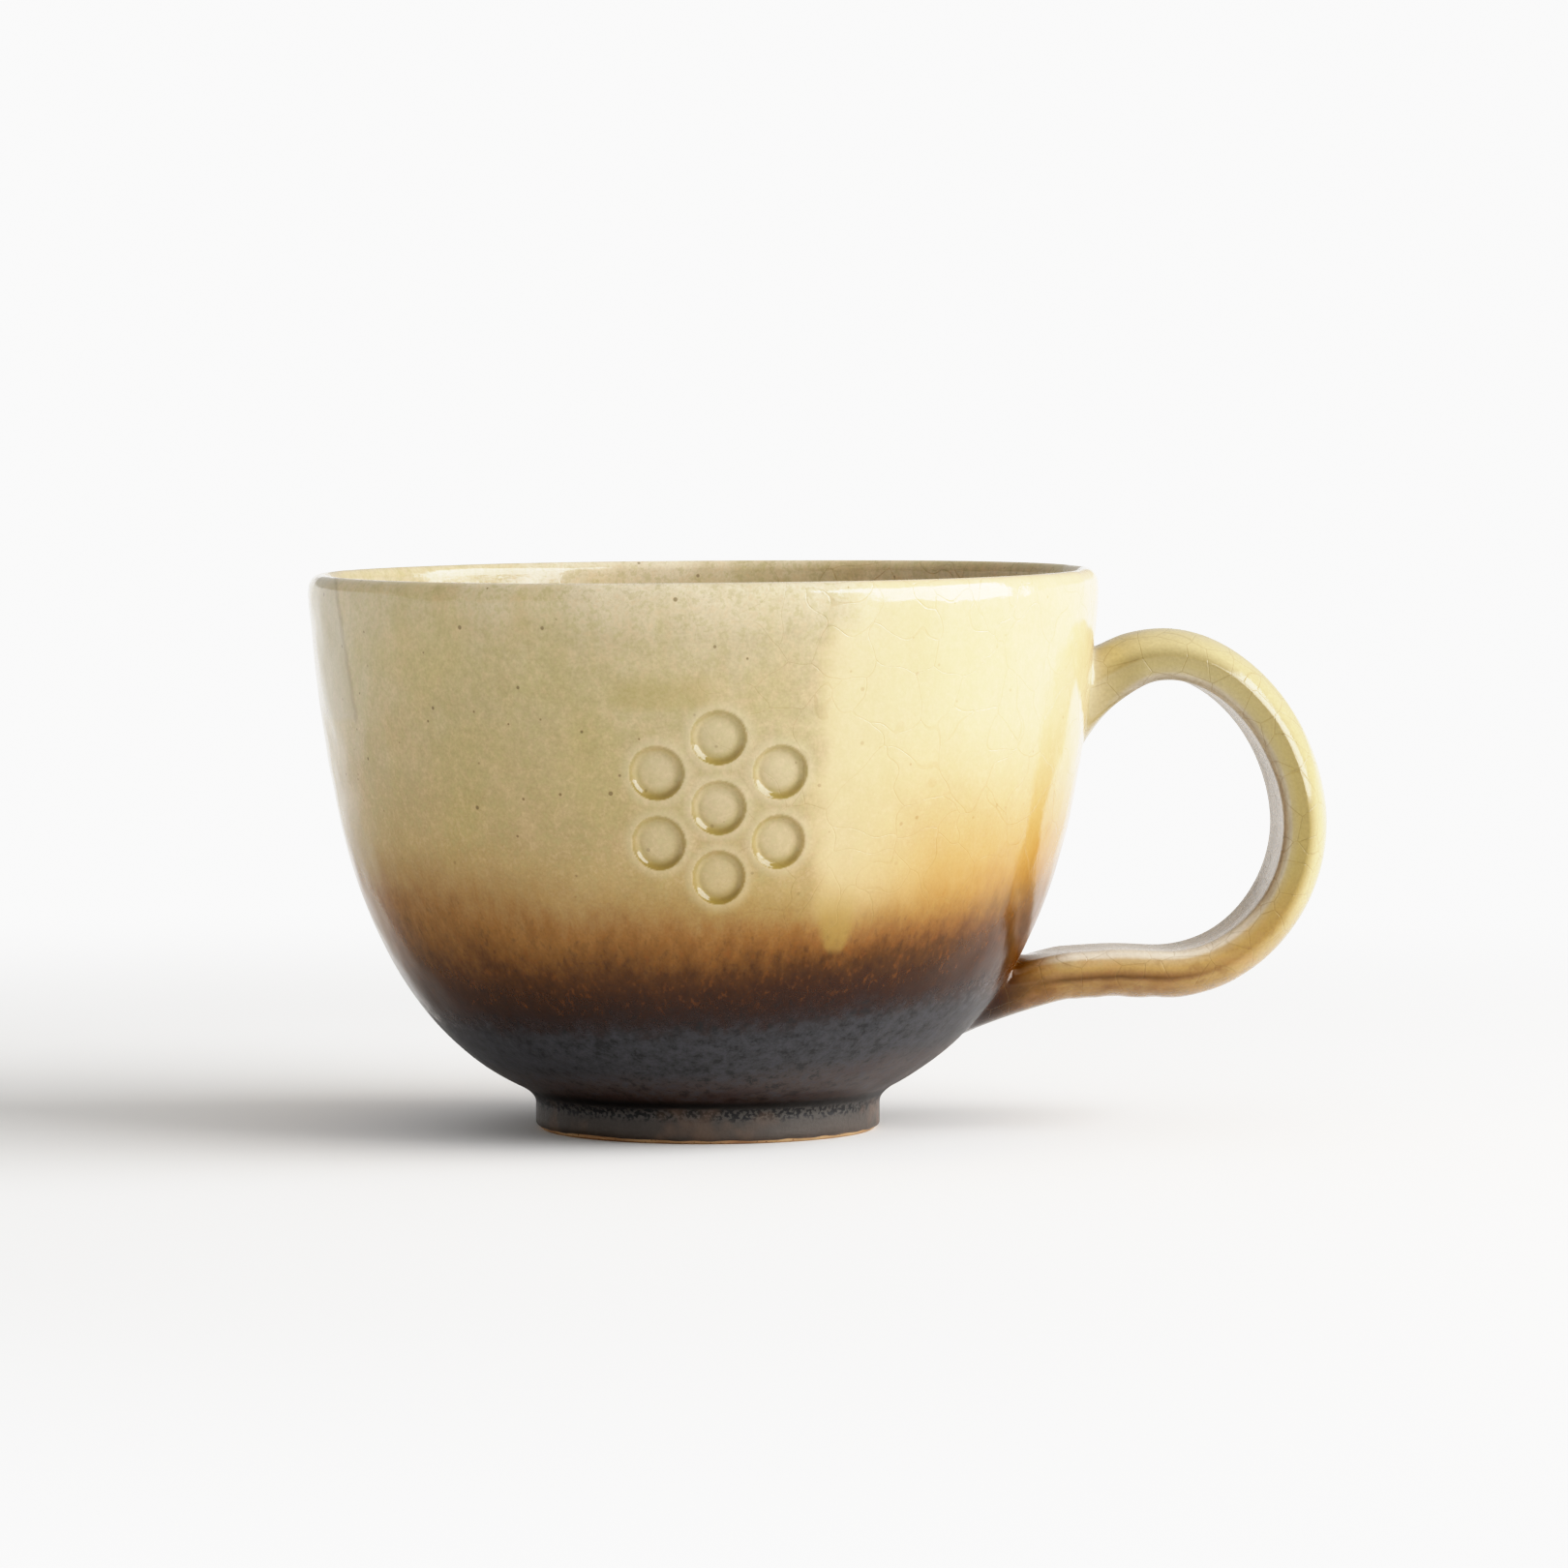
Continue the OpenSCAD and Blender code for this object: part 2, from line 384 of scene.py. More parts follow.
# ---- The foot ring
# A low ring turned from the thick base of the bowl, which lifts the glaze clear of the kiln shelf.
# Its resting face is wiped clean before the firing and stays bare, toasted clay.
LAND = 4.6
FOOT_EDGE = 0.6
EDGE_STEPS = 6
SIDE_HEIGHTS = (1.2, 2.2, 3.3)


def quarter(middle, radius, start, steps):
    """A quarter round of a profile, from the angle start, in degrees."""
    angles = [math.radians(start + 90 * i / steps) for i in range(steps + 1)]
    return [Vector(middle) + radius * Vector((math.cos(a), math.sin(a))) for a in angles]


recess = CLAY_FOOT_RADIUS - LAND
foot_line = quarter((recess + FOOT_EDGE, FOOT_EDGE), FOOT_EDGE, 180, EDGE_STEPS)
foot_line += [Vector((recess + LAND * share, 0.0)) for share in (0.3, 0.45, 0.6)]
foot_line += quarter((CLAY_FOOT_RADIUS - FOOT_EDGE, FOOT_EDGE), FOOT_EDGE, 270, EDGE_STEPS)
foot_line += [Vector((CLAY_FOOT_RADIUS, h)) for h in (*SIDE_HEIGHTS, FOOT_HOLLOW)]
foot_line += [Vector((recess, h)) for h in (FOOT_HOLLOW, *SIDE_HEIGHTS[::-1])]
foot_form = turned(foot_line, TURNS, True)
finished(foot_form, "foot_ring_clay", clay, "clay", "foot_ring")

# ---- The outer coat
# Pale ash glaze poured from the lip, run thin over an iron-rich glaze that the foot was dipped in.
# It turns over the lip, breaks through amber and brown, and ends in charcoal just above the table.
COVE_DROP = 0.7
COVE_STEPS = 10
GLAZE_EDGE = 0.5
EDGE_TOP = 2.4
EDGE_WAVE = 0.16
BACK_LOW = 2.6
OVER_LIP = 3
STAMP_CUTS = 6
STAMP_PATCH = 15.5
ON_SKIN = 0.2

cove_start = Vector((FOOT_RADIUS, FOOT_HOLLOW - COVE_DROP))
cove_pull = Vector((FOOT_RADIUS, FOOT_HOLLOW + 0.55))
cove_line = [
    (1 - t) ** 2 * cove_start + 2 * t * (1 - t) * cove_pull + t * t * skin[0]
    for t in [i / COVE_STEPS for i in range(COVE_STEPS)]
]
rolled_edge = [Vector((FOOT_RADIUS - d, GLAZE_EDGE + h)) for d, h in
               ((0.48, 0.0), (0.3, 0.03), (0.14, 0.14), (0.04, 0.34), (0.0, 0.62), (0.0, 1.1), (0.0, 1.6))]
coat_top = len(outside_line) + len(lip_line) + OVER_LIP
coat_line = rolled_edge + cove_line + skin[:coat_top]
coat_back = clay_line[:coat_top][::-1]
coat_back += [Vector((CLAY_FOOT_RADIUS, h)) for h in (FOOT_HOLLOW, BACK_LOW)]
coat_form = turned(coat_line + coat_back, TURNS, True)


def in_stamp(point):
    """True for a point of the glazed skin in the square round the stamp, where the mesh is made finer."""
    across, up = on_stamp(point)
    off_wall = wall_radius(point.z / MM) - math.hypot(point.x, point.y) / MM
    return abs(across) < STAMP_PATCH and abs(up) < STAMP_PATCH and off_wall < ON_SKIN


stamp_edges = {
    edge
    for face in coat_form.faces if in_stamp(face.calc_center_median())
    for edge in face.edges
}
bmesh.ops.subdivide_edges(coat_form, edges=list(stamp_edges), cuts=STAMP_CUTS, use_grid_fill=True)
pool_layer = coat_form.verts.layers.float.new("pool")
edge_layer = coat_form.verts.layers.float.new("pale_edge")
for corner in coat_form.verts:
    spread = Vector((corner.co.x, corner.co.y, 0.0))
    height = corner.co.z / MM
    out = spread.normalized()
    inset = wall_radius(height) - spread.length / MM
    if 8 < height < LIP_TOP - 6 and inset < UNDER_GLAZE:
        if inset < ON_SKIN:
            push, corner[pool_layer], corner[edge_layer] = stamped(corner.co)
            raised = 0.07 * corner[edge_layer] * ease(0.05, 0.0, push)
            corner.co = corner.co + out * MM * (inset - push + raised)
        else:
            corner.co -= out * MM * dented(corner.co)
    if height < EDGE_TOP:
        turn = math.atan2(corner.co.y, corner.co.x)
        wave = noise.noise(Vector((9 * math.cos(turn), 9 * math.sin(turn), 0)))
        wave += 0.7 * noise.noise(Vector((2.2 * math.cos(turn), 2.2 * math.sin(turn), 5)))
        corner.co.z += MM * EDGE_WAVE * wave * ease(EDGE_TOP, 0.9, height)
    corner.co = fired(corner.co)

# The two glazes by height in mm: foot, a line of painted shade in the cove's crease, charcoal band,
# brown, amber and pale ash.
ASH_TO_IRON = [
    (0.0, (80, 71, 64)), (3.2, (76, 71, 67)), (4.2, (78, 75, 72)), (4.8, (70, 66, 63)),
    (5.05, (24, 20, 19)), (5.6, (26, 22, 20)), (6.3, (68, 54, 48)), (8.5, (73, 62, 58)),
    (11.0, (54, 53, 55)), (15.0, (54, 54, 57)), (16.2, (50, 48, 50)), (17.8, (44, 28, 24)),
    (19.6, (47, 22, 8)), (22.2, (60, 31, 5)), (25.0, (84, 51, 13)), (27.5, (118, 80, 34)),
    (30.0, (138, 101, 52)), (34.0, (156, 128, 82)), (38.0, (166, 142, 99)), (42.0, (170, 149, 110)),
    (50.0, (175, 157, 121)), (62.0, (176, 161, 124)), (70.0, (182, 167, 134)), (74.5, (199, 184, 153)),
    (77.5, (218, 204, 178)),
]
GLAZE_SPAN = 80.0
GLASS = 1.52


def ash_over_iron(r, level, crackle_share):
    """Colour, roughness and fine relief of the ash and iron glazes where they meet at a level in mm."""
    # The melted glaze runs in fine streaks where the two meet, so the level wavers there.
    runs = r.cloud(1.8, 4.0, r.stretched(1.0, 1.0, 0.42), rough=0.6)
    drift = r.cloud(9.0, 2.0, r.stretched(1.0, 1.0, 0.6), shift=11.0)
    meeting = r.rise(12.0, 18.0, level) * r.rise(44.0, 30.0, level)
    wavering = level + meeting * (5.5 * (runs - 0.5)) + 3.2 * (drift - 0.5) * r.rise(6.0, 12.0, level)
    colour = r.by_height(wavering, GLAZE_SPAN, ASH_TO_IRON)

    # The pale ash glaze has olive and rosy patches, soft streaks, and a fine mottle of both.
    pale = r.rise(30.0, 44.0, wavering)
    patches = r.cloud(16.0, 2.0, shift=31.0)
    colour = r.mix(pale * 0.30 * r.rise(0.42, 0.70, patches), colour, shade(176, 160, 104))
    warm = r.cloud(11.0, 2.0, shift=57.0)
    colour = r.mix(pale * 0.30 * r.rise(0.48, 0.70, warm), colour, shade(194, 164, 128))
    streaks = r.cloud(3.2, 3.0, r.stretched(1.0, 1.0, 0.22), shift=91.0)
    colour = r.mix(pale * 0.22 * r.rise(0.45, 0.65, streaks), colour, shade(164, 150, 102))
    mottle = r.cloud(1.1, 4.0, shift=63.0, rough=0.7)
    colour = r.mix(pale * 0.40 * r.rise(0.48, 0.62, mottle), colour, shade(164, 154, 110))
    colour = r.mix(pale * 0.34 * r.rise(0.50, 0.36, mottle), colour, shade(196, 170, 134))

    # Amber and dark flecks break up the brown.
    flecks = r.cloud(0.75, 3.0, r.stretched(1.0, 1.0, 0.42), shift=5.0)
    brown = r.rise(18.0, 22.5, wavering) * r.rise(34.0, 27.0, wavering)
    colour = r.mix(brown * 0.34 * r.rise(0.54, 0.72, flecks), colour, shade(128, 78, 28))
    colour = r.mix(brown * 0.28 * r.rise(0.46, 0.30, flecks), colour, shade(46, 26, 12))

    # Blue-grey crystals bloom on the charcoal band, and it turns plum towards the foot.
    bowl = r.rise(5.4, 6.6, level)
    bloom = r.cloud(1.5, 4.0, shift=21.0, rough=0.75)
    dark = r.rise(20.8, 14.8, wavering + 9.0 * (bloom - 0.5))
    colour = r.mix(dark * bowl * 0.75 * r.rise(0.47, 0.62, bloom), colour, shade(68, 67, 72))
    colour = r.mix(dark * bowl * 0.85 * r.rise(0.47, 0.38, bloom), colour, shade(30, 29, 31))
    plum_patches = r.cloud(7.0, 2.0, r.stretched(1, 1, 3), shift=3.0)
    plum = r.rise(11.0, 7.0, level) * r.rise(0.45, 0.65, plum_patches)
    colour = r.mix(plum * bowl * 0.5, colour, shade(60, 42, 38))

    # The foot is thinly coated: dark pepper at its top, and warm patches of clay showing through.
    foot = r.rise(5.2, 4.6, level)
    peppered = r.cloud(0.55, 3.0, shift=77.0)
    pepper_band = r.rise(2.9, 3.9, level + 2.2 * (peppered - 0.5))
    colour = r.mix(foot * pepper_band * r.rise(0.44, 0.54, peppered), colour, shade(34, 33, 34))
    colour = r.mix(foot * 0.5 * r.rise(0.5, 0.7, r.cloud(5.0, 2.0, shift=9.0)), colour, shade(108, 88, 74))

    # A wide crackle, with bent lines, in the glassy ash glaze.
    bend = r.add("ShaderNodeTexNoise", {"noise_dimensions": "3D"},
                 {"Vector": r.place, "Scale": 1 / 9.0, "Detail": 1.0}, 1)
    bend = r.add("ShaderNodeVectorMath", {"operation": "SCALE"}, {0: bend, "Scale": 11.0})
    bent = r.add("ShaderNodeVectorMath", {"operation": "ADD"}, {0: r.place, 1: bend})
    near = r.add("ShaderNodeTexVoronoi", {"voronoi_dimensions": "3D", "feature": "DISTANCE_TO_EDGE"},
                 {"Vector": bent, "Scale": 1 / 8.0})
    crackle = r.rise(0.014, 0.004, near) * r.rise(24.0, 34.0, wavering) * crackle_share
    colour = r.mix(crackle * 0.24, colour, shade(132, 112, 62))

    # Iron specks of uneven size. They show where the middle of a cell lies near the surface.
    cell = {"Vector": r.place, "Scale": 1 / 2.8, "Randomness": 1.0}
    spot = r.add("ShaderNodeTexVoronoi", {"voronoi_dimensions": "3D"}, cell, 0)
    pick = r.add("ShaderNodeTexVoronoi", {"voronoi_dimensions": "3D"}, cell, 1)
    pick = r.add("ShaderNodeSeparateColor", {}, {0: pick}, 0)
    size = 0.05 + 0.09 * pick
    specks = r.rise(1.0, 0.55, spot / size) * r.rise(0.12, 0.18, pick)
    colour = r.mix(specks * pale * 0.6, colour, shade(92, 76, 48))

    # Fine grain in the tone, a satin charcoal band, and the gentle unevenness of a dipped coat.
    grain = r.cloud(0.42, 2.0, shift=1.0)
    blotch = r.cloud(2.6, 3.0, shift=2.0)
    colour = r.tone(colour, 0.76 + 0.32 * grain + 0.16 * blotch)

    rough = 0.07 + 0.05 * blotch + r.rise(30.0, 20.0, wavering) * 0.08 + dark * (0.16 + 0.16 * bloom)
    peel = r.cloud(2.4, 2.0, shift=41.0)
    uneven = r.cloud(9.0, 1.0, shift=83.0)
    relief = 0.45 * uneven + 0.018 * peel + 0.014 * grain + dark * 0.05 * bloom
    relief = relief - 0.02 * crackle + 0.01 * brown * flecks
    return colour, rough, relief


FRONT = math.radians(-94.5)
DRIP_MIDDLE = 17.0
DRIP_LOW = 27.2
ROOT_SPOT = (49.0, 0.0, 23.0)


def outer_glaze():
    """The outside: two glazes, a painted reflection towards the handle, and glaze pooled in the stamp."""
    r = Recipe("ash_over_iron_glaze")
    # Across runs along the stamped front in mm, towards the handle. The meeting of the glazes climbs that
    # way, and the amber above it climbs at both sides.
    across = -math.sin(FRONT) * r.x + math.cos(FRONT) * r.y
    amber = r.rise(22.0, 37.0, r.z)
    tilt = across * (0.03 + 0.06 * r.rise(0.0, 14.0, across)) * r.rise(6.0, 10.0, r.z) * (1.0 - amber)
    climb = across * across * amber * (0.0022 + 0.0026 * r.rise(-6.0, 20.0, across))
    level = r.z - tilt - climb
    crackle_share = 0.15 + 0.85 * r.rise(-10.0, 25.0, across)
    colour, rough, relief = ash_over_iron(r, level, crackle_share)
    facing = r.rise(0.0, -12.0, r.y)

    # A painted reflection of the light with a ragged edge: cream high up, amber lower down by the handle.
    # One long drip of ash glaze, and a smear of it above the stamp.
    sag = 0.8 * (r.cloud(3.0, 2.0) - 0.5)
    sheen_edge = 15.0 + 5.0 * r.rise(66.0, 76.0, r.z) + 6.0 * (r.cloud(7.0, 2.0, shift=6.0) - 0.5)
    # Painted reflection: its share over the glaze, and its cream and amber colour.
    painted_sheen = facing * r.rise(-2.2, 2.2, across - sheen_edge) * r.rise(28.0, 40.0, r.z)
    amber_sheen = r.rise(62.0, 42.0, r.z) * r.rise(16.0, 32.0, across)
    sheen_colour = r.mix(amber_sheen, shade(248, 220, 170), shade(216, 168, 98))
    colour = r.mix(0.36 * painted_sheen, colour, sheen_colour)
    drip_width = 0.1 + 2.7 * r.rise(DRIP_LOW, 37.0, r.z) ** 0.25
    drip = r.rise(1.3, 0.6, abs(across + sag - DRIP_MIDDLE) / drip_width)
    drip = drip * r.rise(DRIP_LOW, 28.6, r.z) * r.rise(40.0, 31.0, r.z)
    colour = r.mix(0.42 * facing * drip, colour, shade(166, 142, 80))
    smear = r.rise(1.15, 0.7, abs(across + 6.0) / 7.0)
    smear = smear * r.rise(60.0, 61.6, r.z + sag) * r.rise(66.5, 63.5, r.z)
    colour = r.mix(0.30 * facing * smear, colour, shade(152, 136, 78))

    # A greyer band with a thin dark line along its edge, below the lip on the side away from the handle.
    grey_band_edge = across + 50.6 - 0.16 * (76.0 - r.z) + 0.8 * sag
    outside = r.rise(52.5, 53.3, (r.x * r.x + r.y * r.y) ** 0.5)
    above = facing * outside * r.rise(57.5, 58.5, r.z + 1.5 * sag)
    colour = r.mix(0.30 * above * r.rise(0.2, -0.2, grey_band_edge), colour, shade(164, 156, 138))
    colour = r.mix(0.30 * above * r.rise(0.45, 0.05, abs(grey_band_edge)), colour, shade(112, 98, 70))

    # Amber glaze gathers on the wall round the lower root, and olive glaze low in each dimple.
    past_root = r.add("ShaderNodeVectorMath", {"operation": "DISTANCE"}, {0: r.place, 1: ROOT_SPOT}, 1)
    amber_pool = r.rise(24.0, 10.0, past_root + 10.0 * sag) * r.rise(17.0, 23.0, r.z)
    colour = r.mix(0.6 * amber_pool, colour, shade(120, 72, 18))
    colour = r.mix(0.8 * r.mark("pool"), colour, shade(134, 116, 54))
    colour = r.mix(0.30 * r.mark("pale_edge"), colour, shade(208, 192, 158))
    return r.finish(colour, rough, relief, IOR=GLASS)


finished(coat_form, "outer_coat", outer_glaze(), "ash_glaze", "ash_glaze", "iron_glaze")

# ---- The liner
# The same ash glaze poured inside and out again, a little warmer where it lies over the bare pale clay.
# It meets the outer coat just inside the lip, and its throwing rings still show.
inner_skin = skin[coat_top - 1:]
inner_back = clay_line[coat_top - 1:-1] + [Vector((0.0, FLOOR_HEIGHT - GLAZE))]
liner_form = turned(inner_skin[::-1] + inner_back, TURNS, False)
for corner in liner_form.verts:
    corner.co = fired(corner.co)

ALL_PALE = 64.0


def liner_glaze():
    """The pale end of the outer glaze at every height, as no iron glaze lies under it, and glossier."""
    r = Recipe("liner_glaze")
    colour, rough, relief = ash_over_iron(r, ALL_PALE + 4.0 * r.cloud(18.0), 0.7)
    colour = r.mix(0.5 * r.rise(71.0, 58.0, r.z), colour, shade(184, 156, 112))
    return r.finish(colour, 0.6 * rough, relief, IOR=GLASS)


finished(liner_form, "liner_coat", liner_glaze(), "liner_glaze", "liner_glaze")

# ---- The handle strap
# One strap pulled wet from a lump of clay, crowned outside and flat towards the fingers.
# Its glaze is olive and cream over the loop and turns amber where it ran down the lower run.
STRAP_HALF = 7.5
STRAP_UP = 3.5
STRAP_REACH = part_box("handle_glaze")[1].x / MM - STRAP_UP
CREST = 66.0
LOWER_RUN = 21.2
loop_pulls = [
    [(54.5, 60.5), (57, 64), (60, CREST), (64, CREST)],
    [(64, CREST), (74, CREST), (STRAP_REACH, 54), (STRAP_REACH, 42)],
    [(STRAP_REACH, 42), (STRAP_REACH, 31), (75, LOWER_RUN), (64, LOWER_RUN)],
    [(64, LOWER_RUN), (58, LOWER_RUN), (53, LOWER_RUN - 0.5), (47, LOWER_RUN - 0.6)],
]
STRAP_START = 0.62
STRAP_END = 3.78
STRAP_RINGS = 132
LUMPY_FROM = 2.3
CROWN_ROUND = 9.93
CROWN_TURN = math.radians(42.33)
ARRIS_ROUND = 0.6
ARRIS_HEIGHT = -0.15
CORNER_ROUND = 1.3
FLAT_HALF = STRAP_HALF - CORNER_ROUND
FLAT_HOLLOW = 0.22


def middle(u):
    """The strap's middle line, as (distance out, height) in mm, u counted in curves along it."""
    k = min(int(u), 3)
    t = u - k
    a, b, c, d = (Vector(p) for p in loop_pulls[k])
    return (1 - t) ** 3 * a + 3 * (1 - t) ** 2 * t * b + 3 * (1 - t) * t * t * c + t ** 3 * d


def heading(u):
    """The way that the middle line runs at u."""
    run = middle(u + 0.01) - middle(u - 0.01)
    return run.normalized()


def arc(middle_point, radius, start, end, steps):
    """An arc of a section, from the angle start to the angle end, in radians."""
    angles = [start + (end - start) * i / steps for i in range(steps + 1)]
    return [Vector(middle_point) + radius * Vector((math.cos(a), math.sin(a))) for a in angles]


half_right = [Vector((STRAP_HALF, -1.2))]
half_right += arc((STRAP_HALF - ARRIS_ROUND, ARRIS_HEIGHT), ARRIS_ROUND, 0.0, CROWN_TURN, 4)
half_right += arc((0.0, STRAP_UP - CROWN_ROUND), CROWN_ROUND, CROWN_TURN, math.pi / 2, 9)[1:]
half_left = [Vector((-p.x, p.y)) for p in half_right[:-1]][::-1]
corner_height = -STRAP_UP + CORNER_ROUND
left_corner = arc((-FLAT_HALF, corner_height), CORNER_ROUND, math.pi, 1.5 * math.pi, 5)
right_corner = arc((FLAT_HALF, corner_height), CORNER_ROUND, 1.5 * math.pi, 2 * math.pi, 5)
flat_face = [
    Vector((FLAT_HALF * (2 * i / 9 - 1), -STRAP_UP + FLAT_HOLLOW * math.sin(math.pi * i / 9)))
    for i in range(1, 9)
]
section = half_right + half_left + left_corner + flat_face + right_corner


def strap_point(u, spot):
    """A point of the strap's section, carried to u along the loop, in mm, with the pulling's small lumps."""
    at, run = middle(u), heading(u)
    wander = Vector((u * 2.1, spot.x * 0.16, spot.y * 0.3))
    swell = 1 + 0.012 * noise.noise(Vector((u * 1.7, 4, 0)))
    bump = 0.10 * noise.noise(wander * 1.7)
    if u > LUMPY_FROM and spot.y > 0:
        lumps = noise.noise(Vector((u * 9.0, spot.x * 0.25, 2)))
        bump += 0.14 * lumps * ease(LUMPY_FROM, LUMPY_FROM + 0.6, u)
    width = spot.x * swell
    out = spot.y + bump * (1 if spot.y > 0 else -0.6)
    return Vector((at.x - run.y * out, width, at.y + run.x * out))


def drawn(rings):
    """A form drawn out through rings of points in mm, with both ends closed."""
    form = bmesh.new()
    corners = [form.verts.new(MM * p) for p in rings[0]]
    edges = [form.edges.new(pair) for pair in zip(corners, corners[1:] + corners[:1])]
    form.faces.new(corners[::-1])
    for ring in rings[1:]:
        grown = bmesh.ops.extrude_edge_only(form, edges=edges)["geom"]
        fresh = [g for g in grown if isinstance(g, bmesh.types.BMVert)]
        joined = {}
        for corner in corners:
            for edge in corner.link_edges:
                other = edge.other_vert(corner)
                if other in fresh:
                    joined[corner] = other
        corners = [joined[c] for c in corners]
        for corner, point in zip(corners, ring):
            corner.co = MM * point
        edges = [form.edges.get(pair) for pair in zip(corners, corners[1:] + corners[:1])]
    form.faces.new(corners)
    bmesh.ops.recalc_face_normals(form, faces=form.faces)
    return form


stations = [STRAP_START + (STRAP_END - STRAP_START) * i / STRAP_RINGS for i in range(STRAP_RINGS + 1)]
strap_form = drawn([[strap_point(u, spot) for spot in section] for u in stations])


def label_rings(form):
    """Marks the part of the section that each point belongs to. The points come ring by ring."""
    inner, arris, crown = [form.verts.layers.float.new(part) for part in ("inner", "arris", "crown")]
    for number, corner in enumerate(form.verts):
        spot = section[number % len(section)]
        corner[inner] = ease(-1.9, -2.9, spot.y)
        corner[arris] = ease(1.1, 0.0, abs(spot.y - 0.15)) * ease(6.4, 7.2, abs(spot.x))
        corner[crown] = ease(0.2, 1.8, spot.y)


label_rings(strap_form)
for corner in strap_form.verts:
    corner.co = fired(corner.co)


def handle_glaze():
    """Olive ash glaze, paler on the crown (partly a painted highlight), thin and grey on the inner face, and
    amber low down.
    """
    r = Recipe("handle_glaze")
    inner = r.mark("inner")
    drift = r.cloud(7.0, 3.0, shift=17.0)
    level = r.z + 7.0 * (drift - 0.5)
    colour = r.by_height(level, GLAZE_SPAN, [
        (10.0, (90, 56, 26)), (16.0, (126, 90, 46)), (19.0, (142, 106, 54)), (22.0, (168, 136, 84)),
        (27.0, (150, 122, 68)), (36.0, (146, 129, 80)), (50.0, (148, 133, 88)), (66.0, (154, 141, 102)),
        (74.0, (170, 158, 124)),
    ])
    # The crown is paler: partly glaze breaking thin over it, partly a painted highlight where it faces the
    # light.
    colour = r.mix(r.mark("crown") * 0.6 * r.rise(18.0, 34.0, r.z), colour, shade(204, 186, 138))

    # The fingers wiped the inner face thin, along the strap.
    striation = r.cloud(0.9, 3.0, r.stretched(0.12, 2.0, 0.12), shift=8.0)
    grey = r.mix(r.rise(0.35, 0.7, striation), shade(158, 148, 136), shade(184, 175, 162))
    low = r.rise(34.0, 22.0, r.z)
    grey = r.mix(low * 0.8, grey, shade(226, 218, 204))
    colour = r.mix(inner * 0.8, colour, grey)

    # On the lower run the glaze is lumpy, with a dark line of it caught along the arris.
    lumps = r.cloud(2.4, 3.0, shift=71.0)
    low = low * (1.0 - inner)
    colour = r.mix(low * 0.45 * r.rise(0.48, 0.66, lumps), colour, shade(168, 130, 84))
    colour = r.mix(low * 0.3 * r.rise(0.46, 0.32, lumps), colour, shade(104, 68, 30))
    dark_line = r.mark("arris") * (0.12 + 0.68 * low * r.rise(80.0, 60.0, r.x))
    colour = r.mix(dark_line, colour, shade(86, 52, 10))

    # The roots' ends take the wall's own colours.
    wall_colour = r.by_height(r.z + 3.0 + 4.0 * (lumps - 0.5), GLAZE_SPAN, ASH_TO_IRON)
    colour = r.mix(r.mark("wall"), colour, wall_colour)

    # A finer crackle than the bowl's, and the same fine grain.
    near = r.add("ShaderNodeTexVoronoi", {"voronoi_dimensions": "3D", "feature": "DISTANCE_TO_EDGE"},
                 {"Vector": r.place, "Scale": 1 / 4.6})
    crackle = r.rise(0.022, 0.006, near)
    colour = r.mix(crackle * 0.2, colour, shade(110, 90, 48))
    grain = r.cloud(0.42, 2.0, shift=1.0)
    colour = r.tone(colour, 0.84 + 0.32 * grain)
    rough = 0.10 + 0.07 * lumps + 0.14 * inner
    relief = 0.02 * r.cloud(2.2, 2.0) + 0.012 * grain
    relief = relief + 0.02 * inner * striation + 0.06 * low * lumps - 0.02 * crackle
    return r.finish(colour, rough, relief, IOR=GLASS)


strap_finish = handle_glaze()
finished(strap_form, "handle_strap_glazed", strap_finish, "ash_glaze", "handle_strap", "handle_glaze")

# ---- The handle's roots
# The strap's ends, flared and pressed onto the scored wall with slip, then smoothed with a wet finger.
# The upper one melts into the pale wall. The lower one keeps a collar and a dark wedge underneath.
ROOT_RINGS = 22
LEAD = 2.2
SHARE = 0.8
BURIED = 0.08
# Where each root sits on the wall: its height, its reach to the crown and to the inner side, half its width.
UPPER_SEAT = (61.0, 6.0, 9.5, 8.0)
LOWER_SEAT = (19.5, -8.0, -4.4, 8.0)


def on_wall(y, z):
    """A point on the bowl's glazed outside, a hair inside it so that the root has no gap round it."""
    radius = wall_radius(z) - BURIED
    return Vector((math.sqrt(radius * radius - y * y), y, z))


def seat_point(angle, seat, share):
    """A point of the oval on the wall that a root is pressed onto. share draws the oval in."""
    centre, to_crown, to_inside, half = seat
    up = to_crown if math.sin(angle) > 0 else to_inside
    return on_wall(share * half * math.cos(angle), centre + share * up * math.sin(angle))


def root_rings(u, way, seat):
    """Rings from the strap's end to the wall. They leave along the strap and arrive along the wall."""
    run = heading(u)
    lead = way * LEAD * Vector((run.x, 0.0, run.y))
    rings = []
    for i in range(ROOT_RINGS + 1):
        t = i / ROOT_RINGS
        ring = []
        for spot in section:
            angle = math.atan2(spot.y / STRAP_UP, spot.x / STRAP_HALF)
            start = strap_point(u, spot)
            a, b = start, start + lead
            c, d = seat_point(angle, seat, SHARE), seat_point(angle, seat, 1.0)
            ring.append((1 - t) ** 3 * a + 3 * (1 - t) ** 2 * t * b + 3 * (1 - t) * t * t * c + t ** 3 * d)
        rings.append(ring)
    return rings


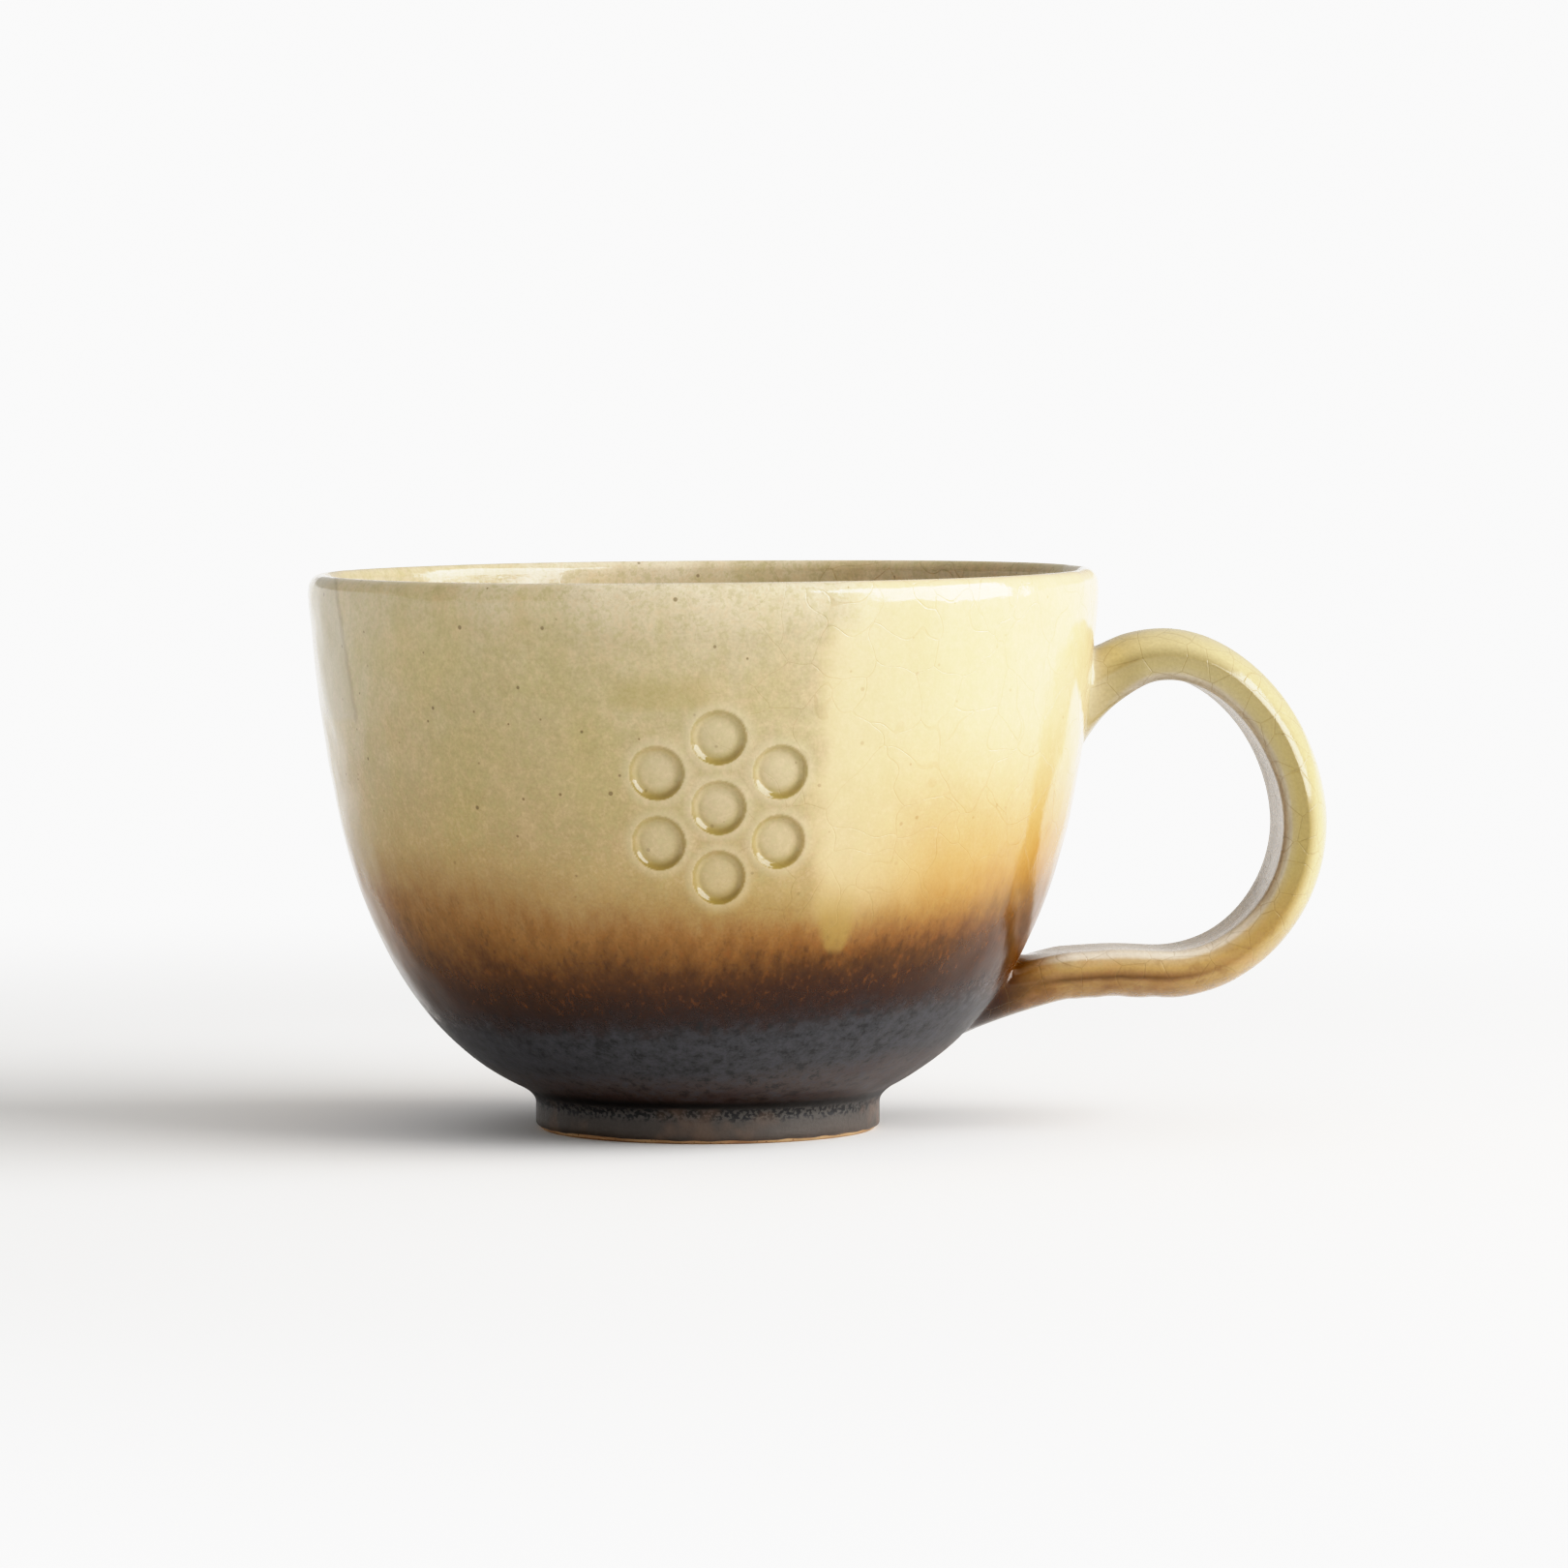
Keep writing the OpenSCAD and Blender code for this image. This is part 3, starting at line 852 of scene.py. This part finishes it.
def make_root(name, u, way, seat, slot, node):
    """One root, from the strap's end at u. The strap's markings fade along it, and the wall's colours come."""
    form = drawn(root_rings(u, way, seat))
    label_rings(form)
    layers = form.verts.layers.float
    wall = layers.new("wall")
    for number, corner in enumerate(form.verts):
        along = (number // len(section)) / ROOT_RINGS
        corner[wall] = ease(0.2, 0.8, along)
        for part in ("inner", "arris"):
            corner[layers[part]] *= 1 - ease(0.1, 0.8, along)
        corner.co = fired(corner.co)
    finished(form, name, strap_finish, slot, node)


make_root("upper_root_glazed", STRAP_START, -1, UPPER_SEAT, "ash_glaze", "upper_root")
make_root("lower_root_glazed", STRAP_END, 1, LOWER_SEAT, "amber_glaze", "lower_root")

# ---- The table and the light
# A plain pale table that curves up far away, so that no horizon shows.
# One large soft light stands to the right, on the handle's side, and an even white fill comes from all round.
TABLE_FLAT = 3000.0
TABLE_CURVE = 600.0
TABLE_TURNS = 96

curve_turns = [math.radians(9 * i) for i in range(1, 10)]
floor_profile = [(radius, 0.0) for radius in (0.0, 60.0, 120.0, 250.0, 500.0, 1000.0, TABLE_FLAT)]
floor_profile += [(TABLE_FLAT + TABLE_CURVE * math.sin(a), TABLE_CURVE - TABLE_CURVE * math.cos(a))
                  for a in curve_turns]
floor_form = turned(floor_profile, TABLE_TURNS, False)
for face in floor_form.faces:
    if face.normal.z < 0:
        face.normal_flip()


def table_finish():
    """Matt off-white that takes the mug's shadow, and fades into an even white glow further out."""
    r = Recipe("pale_table")
    far = r.rise(180.0, 420.0, (r.x * r.x + r.y * r.y) ** 0.5)
    colour = r.mix(far, (0.905, 0.895, 0.88, 1.0), (0.0, 0.0, 0.0, 1.0))
    glow = r.mix(far, (0.0, 0.0, 0.0, 1.0), (1.27, 1.27, 1.265, 1.0))
    surface = r.add("ShaderNodeBsdfPrincipled", {}, {
        "Base Color": colour, "Roughness": 0.9, "Emission Color": glow, "Emission Strength": 1.0,
        "Specular IOR Level": 0.0})
    r.add("ShaderNodeOutputMaterial", {}, {"Surface": surface})
    return r.material


floor_mesh = bpy.data.meshes.new("table")
floor_form.to_mesh(floor_mesh)
floor_form.free()
floor_mesh.shade_smooth()
floor_mesh.materials.append(table_finish())
table = bpy.data.objects.new("table", floor_mesh)
bpy.context.scene.collection.objects.link(table)

FILL = 0.62
MUG_MIDDLE = Vector((0, 0, 0.04))


def softbox(name, turn, distance, centre_height, width, height, power):
    """A rectangular soft light aimed at the middle of the mug. turn is counted rightwards from the camera."""
    lamp = bpy.data.lights.new(name, "AREA")
    lamp.shape = "RECTANGLE"
    lamp.size = width
    lamp.size_y = height
    lamp.energy = power
    holder = bpy.data.objects.new(name, lamp)
    bpy.context.scene.collection.objects.link(holder)
    angle = FRONT + math.radians(turn)
    holder.location = (distance * math.cos(angle), distance * math.sin(angle), centre_height)
    aim = MUG_MIDDLE - holder.location
    holder.rotation_euler = aim.to_track_quat("-Z", "Y").to_euler()
    holder.visible_camera = False


softbox("window_light", turn=75.0, distance=0.95, centre_height=0.50, width=1.15, height=0.80, power=19.0)

world = bpy.data.worlds.new("studio_fill")
world.use_nodes = True
world.node_tree.nodes["Background"].inputs["Color"].default_value = (1.0, 1.0, 1.0, 1.0)
world.node_tree.nodes["Background"].inputs["Strength"].default_value = FILL
bpy.context.scene.world = world

# The render is developed on a soft curve: deep shadows, and lights that roll off before white.
SPAN = 1.6
grading = bpy.context.scene.view_settings
grading.view_transform = "Standard"
grading.use_curve_mapping = True
grading.curve_mapping.white_level = (SPAN, SPAN, SPAN)
curve = grading.curve_mapping.curves[3]
development = [
    (0.02, 0.003), (0.05, 0.020), (0.1, 0.061), (0.2, 0.16), (0.33, 0.315),
    (0.5, 0.50), (0.7, 0.695), (0.85, 0.81), (1.0, 0.885), (1.25, 0.95),
]
for scene_light, shown in development:
    curve.points.new(scene_light / SPAN, shown)
grading.curve_mapping.update()

CAMERA_DISTANCE = 1.058
CAMERA_HEIGHT = 0.109
LENS = 174.54
TILT = 3.30
PAN = 0.576

camera_data = bpy.data.cameras.new("camera")
camera_data.sensor_width = 36.0
camera_data.lens = LENS
camera = bpy.data.objects.new("camera", camera_data)
bpy.context.scene.collection.objects.link(camera)
camera.location = (
    CAMERA_DISTANCE * math.cos(FRONT),
    CAMERA_DISTANCE * math.sin(FRONT),
    CAMERA_HEIGHT,
)
camera.rotation_euler = (math.radians(90 - TILT), 0.0, FRONT + math.radians(90 - PAN))
bpy.context.scene.camera = camera
